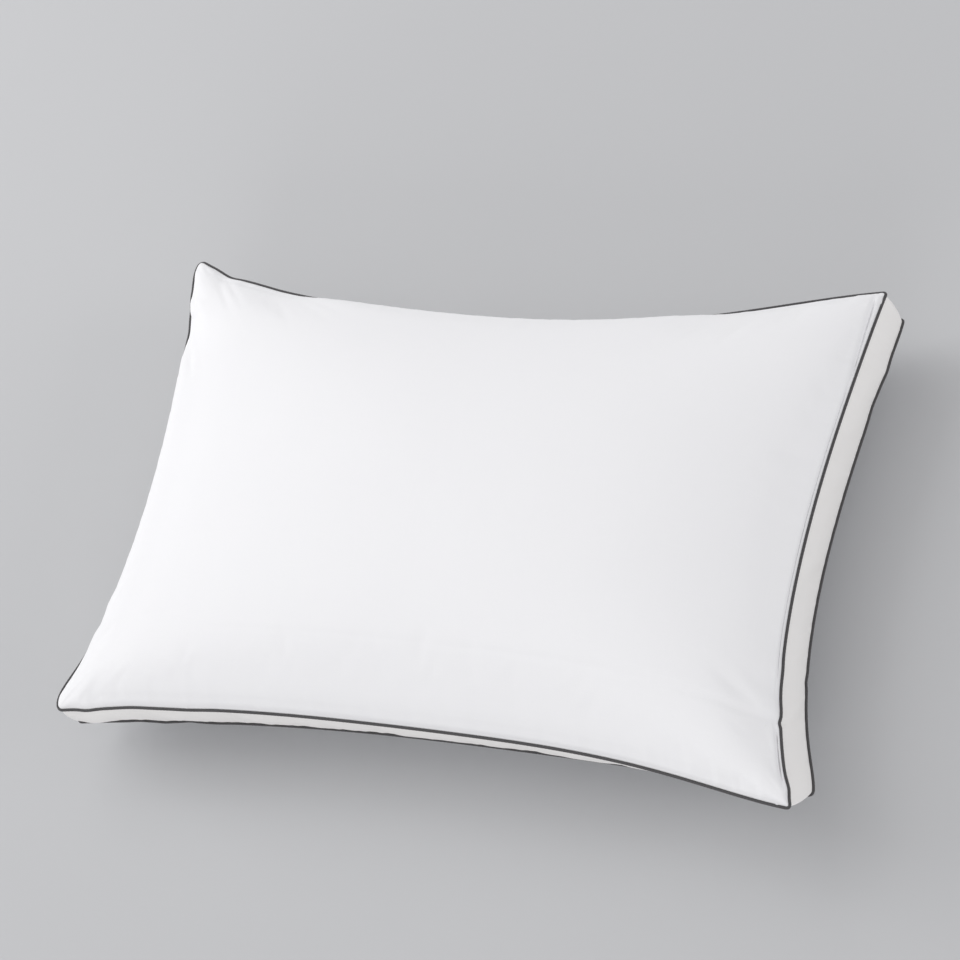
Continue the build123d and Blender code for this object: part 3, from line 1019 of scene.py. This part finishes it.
def cotton(name, shade, deep, pitch, roughness, sheen):
    """Plain-woven cotton: weave, slubs, and slightly uneven shade."""
    material, tree, shader = new_material(name)
    uv, x, y = cloth_axes(tree)
    warp_slub = noise(tree, uv, (900, 28, 1), 3.0)
    weft_slub = noise(tree, uv, (28, 900, 1), 3.0)
    slub = math_node(tree, "MULTIPLY", math_node(tree, "ADD", warp_slub, weft_slub), 0.5)
    cloudy = noise(tree, uv, (9, 9, 1), 3.0)
    tone = math_node(tree, "MULTIPLY", math_node(tree, "ADD", slub, cloudy), 0.5)
    tree.links.new(mixed_colour(tree, tone, deep, shade), shader.inputs["Base Color"])
    weave = plain_weave(tree, x, y, pitch)
    first = bump(tree, weave, 0.06 * MM, 0.5)
    second = bump(tree, slub, 0.25 * MM, 0.35, first)
    tree.links.new(second, shader.inputs["Normal"])
    shader.inputs["Roughness"].default_value = roughness
    shader.inputs["Specular IOR Level"].default_value = 0.25
    shader.inputs["Sheen Weight"].default_value = sheen
    shader.inputs["Sheen Roughness"].default_value = 0.5
    return material


TAPE_DARK = (0.036, 0.035, 0.037)
# painted highlight: the lighter colour painted along the crests of the tape's slanting ribs
TAPE_RIB_HIGHLIGHT = (0.115, 0.111, 0.113)
RIB_PITCH = 1.25 * MM
TWILL_PITCH = 0.45 * MM


def piping_cloth():
    """Dark grey bias tape: slanting twill, with a painted highlight making it lighter along the crest of
    its ribs.
    """
    material, tree, shader = new_material("piping tape")
    uv, x, y = cloth_axes(tree)
    slant = math_node(tree, "ADD", x, math_node(tree, "MULTIPLY", y, 0.65))
    rib_highlight = math_node(tree, "SINE", math_node(tree, "MULTIPLY", slant, 2 * math.pi / RIB_PITCH))
    fine = math_node(tree, "SINE", math_node(tree, "MULTIPLY", slant, 2 * math.pi / TWILL_PITCH))
    fuzz = noise(tree, uv, (1500, 1500, 1), 4.0)
    height = math_node(tree, "ADD", math_node(tree, "MULTIPLY", fine, 0.25), fuzz)
    # painted highlight: the rib crests are painted lighter, as if catching the light
    tone = math_node(tree, "MULTIPLY_ADD", rib_highlight, 0.5, 0.5)
    tree.links.new(mixed_colour(tree, tone, TAPE_DARK, TAPE_RIB_HIGHLIGHT), shader.inputs["Base Color"])
    tree.links.new(bump(tree, height, 0.12 * MM, 0.6), shader.inputs["Normal"])
    shader.inputs["Roughness"].default_value = 0.78
    shader.inputs["Specular IOR Level"].default_value = 0.3
    shader.inputs["Sheen Weight"].default_value = 0.25
    shader.inputs["Sheen Roughness"].default_value = 0.4
    return material


def plain_fibre(name, low, high, cycles):
    """Yarn or loose fibre: streaky colour and a soft rough surface."""
    material, tree, shader = new_material(name)
    coordinates = tree.nodes.new("ShaderNodeTexCoord")
    streak = noise(tree, coordinates.outputs["Object"], (cycles, cycles, cycles), 5.0, 0.65)
    tree.links.new(mixed_colour(tree, streak, low, high), shader.inputs["Base Color"])
    tree.links.new(bump(tree, streak, 0.4 * MM, 0.5), shader.inputs["Normal"])
    shader.inputs["Roughness"].default_value = 0.85
    shader.inputs["Sheen Weight"].default_value = 0.2
    return material


PANEL_WHITE = ((0.87, 0.87, 0.88), (0.83, 0.83, 0.845))        # shade, and where it is deeper
GUSSET_WHITE = ((0.895, 0.882, 0.870), (0.85, 0.835, 0.82))
PANEL_COTTON = cotton("panel cotton", *PANEL_WHITE, pitch=0.4 * MM, roughness=0.8, sheen=0.12)
GUSSET_COTTON = cotton("gusset cotton", *GUSSET_WHITE, pitch=0.45 * MM, roughness=0.85, sheen=0.1)
PIPING_TAPE = piping_cloth()
FILLER_CORD = plain_fibre("filler cord", (0.62, 0.60, 0.55), (0.8, 0.78, 0.74), 900)
FIBRE = plain_fibre("fibre filling", (0.8, 0.8, 0.8), (0.93, 0.93, 0.93), 60)
THREAD = plain_fibre("sewing thread", (0.78, 0.78, 0.77), (0.9, 0.9, 0.89), 1500)
LABEL_CLOTH = plain_fibre("label cloth", (0.84, 0.84, 0.83), (0.9, 0.9, 0.89), 1200)

# ---- making the pieces
for side in SEAMS:
    make_panel(side, PANEL_COTTON)
    make_piping(side, PIPING_TAPE, FILLER_CORD)
    make_seam_thread(side, THREAD)
for edge in EDGE_ENDS:
    make_gusset(edge, GUSSET_COTTON)
make_fill(FIBRE)
make_corner_threads(THREAD)
make_closing_stitches(THREAD)
make_label(LABEL_CLOTH)

# ---- floor, light and camera
CAMERA_FROM = Vector((0.7555, -0.7137, TOP_Z + 1.6668))
CAMERA_AT = Vector((0.0080, 0.0254, TOP_Z))
CAMERA_ROLL = math.radians(-35.81)
LENS = 85.35
FLOOR_DEEP = (0.50, 0.505, 0.515)
FLOOR_PALE = (0.53, 0.535, 0.545)
FLOOR_HALF = 6.0
WORLD_COLOUR = (0.99, 0.985, 1.0)
WORLD_STRENGTH = 0.6
LIGHT_AIM = Vector((0, 0, 0.1))
# Place and size in metres, and power in watts.
LIGHTS = {
    "left overhead": ((-2.2, 0.4, 2.6), 1.8, 22.5),
    "back overhead": ((-1.2, 1.6, 2.6), 1.8, 13.0),
    "left low": ((-4.5, 0.64, 1.93), 2.6, 64.0),
    "right low": ((4.5, 0.32, 1.55), 2.6, 44.0),
    "front low": ((0.48, -4.5, 1.4), 2.6, 50.6),
}


def make_floor():
    """Plain pale floor."""
    material, tree, shader = new_material("floor")
    coordinates = tree.nodes.new("ShaderNodeTexCoord")
    cloudy = noise(tree, coordinates.outputs["Object"], (1.5, 1.5, 1.5), 3.0)
    tree.links.new(mixed_colour(tree, cloudy, FLOOR_DEEP, FLOOR_PALE), shader.inputs["Base Color"])
    shader.inputs["Roughness"].default_value = 0.9
    half = FLOOR_HALF
    corners = [(-half, -half, 0), (half, -half, 0), (half, half, 0), (-half, half, 0)]
    floor = new_object("floor", corners, [(0, 1, 2, 3)], smooth=False)
    floor.data.materials.append(material)


def area_light(name, place, size, power):
    """Large soft square light aimed at the middle of the pillow."""
    light = bpy.data.lights.new(name, "AREA")
    light.shape = "SQUARE"
    light.size = size
    light.energy = power
    obj = bpy.data.objects.new(name, light)
    obj.location = place
    obj.rotation_euler = (LIGHT_AIM - Vector(place)).to_track_quat("-Z", "Y").to_euler()
    bpy.context.scene.collection.objects.link(obj)


def make_camera():
    """Long-lens camera, looking down on the pillow from its front right corner."""
    camera = bpy.data.cameras.new("camera")
    camera.lens = LENS
    camera.sensor_width = 36.0
    camera.clip_end = 50.0
    obj = bpy.data.objects.new("camera", camera)
    aim = (CAMERA_AT - CAMERA_FROM).to_track_quat("-Z", "Y")
    obj.matrix_world = (
        Matrix.Translation(CAMERA_FROM) @ aim.to_matrix().to_4x4() @ Matrix.Rotation(CAMERA_ROLL, 4, "Z")
    )
    bpy.context.scene.collection.objects.link(obj)
    bpy.context.scene.camera = obj


def make_world():
    """Even pale surroundings."""
    world = bpy.data.worlds.new("studio")
    world.use_nodes = True
    background = world.node_tree.nodes["Background"]
    background.inputs["Color"].default_value = (*WORLD_COLOUR, 1)
    background.inputs["Strength"].default_value = WORLD_STRENGTH
    bpy.context.scene.world = world


make_floor()
make_world()
for light_name, (place, size, power) in LIGHTS.items():
    area_light(light_name, place, size, power)
make_camera()
bpy.context.scene.view_settings.view_transform = "Standard"
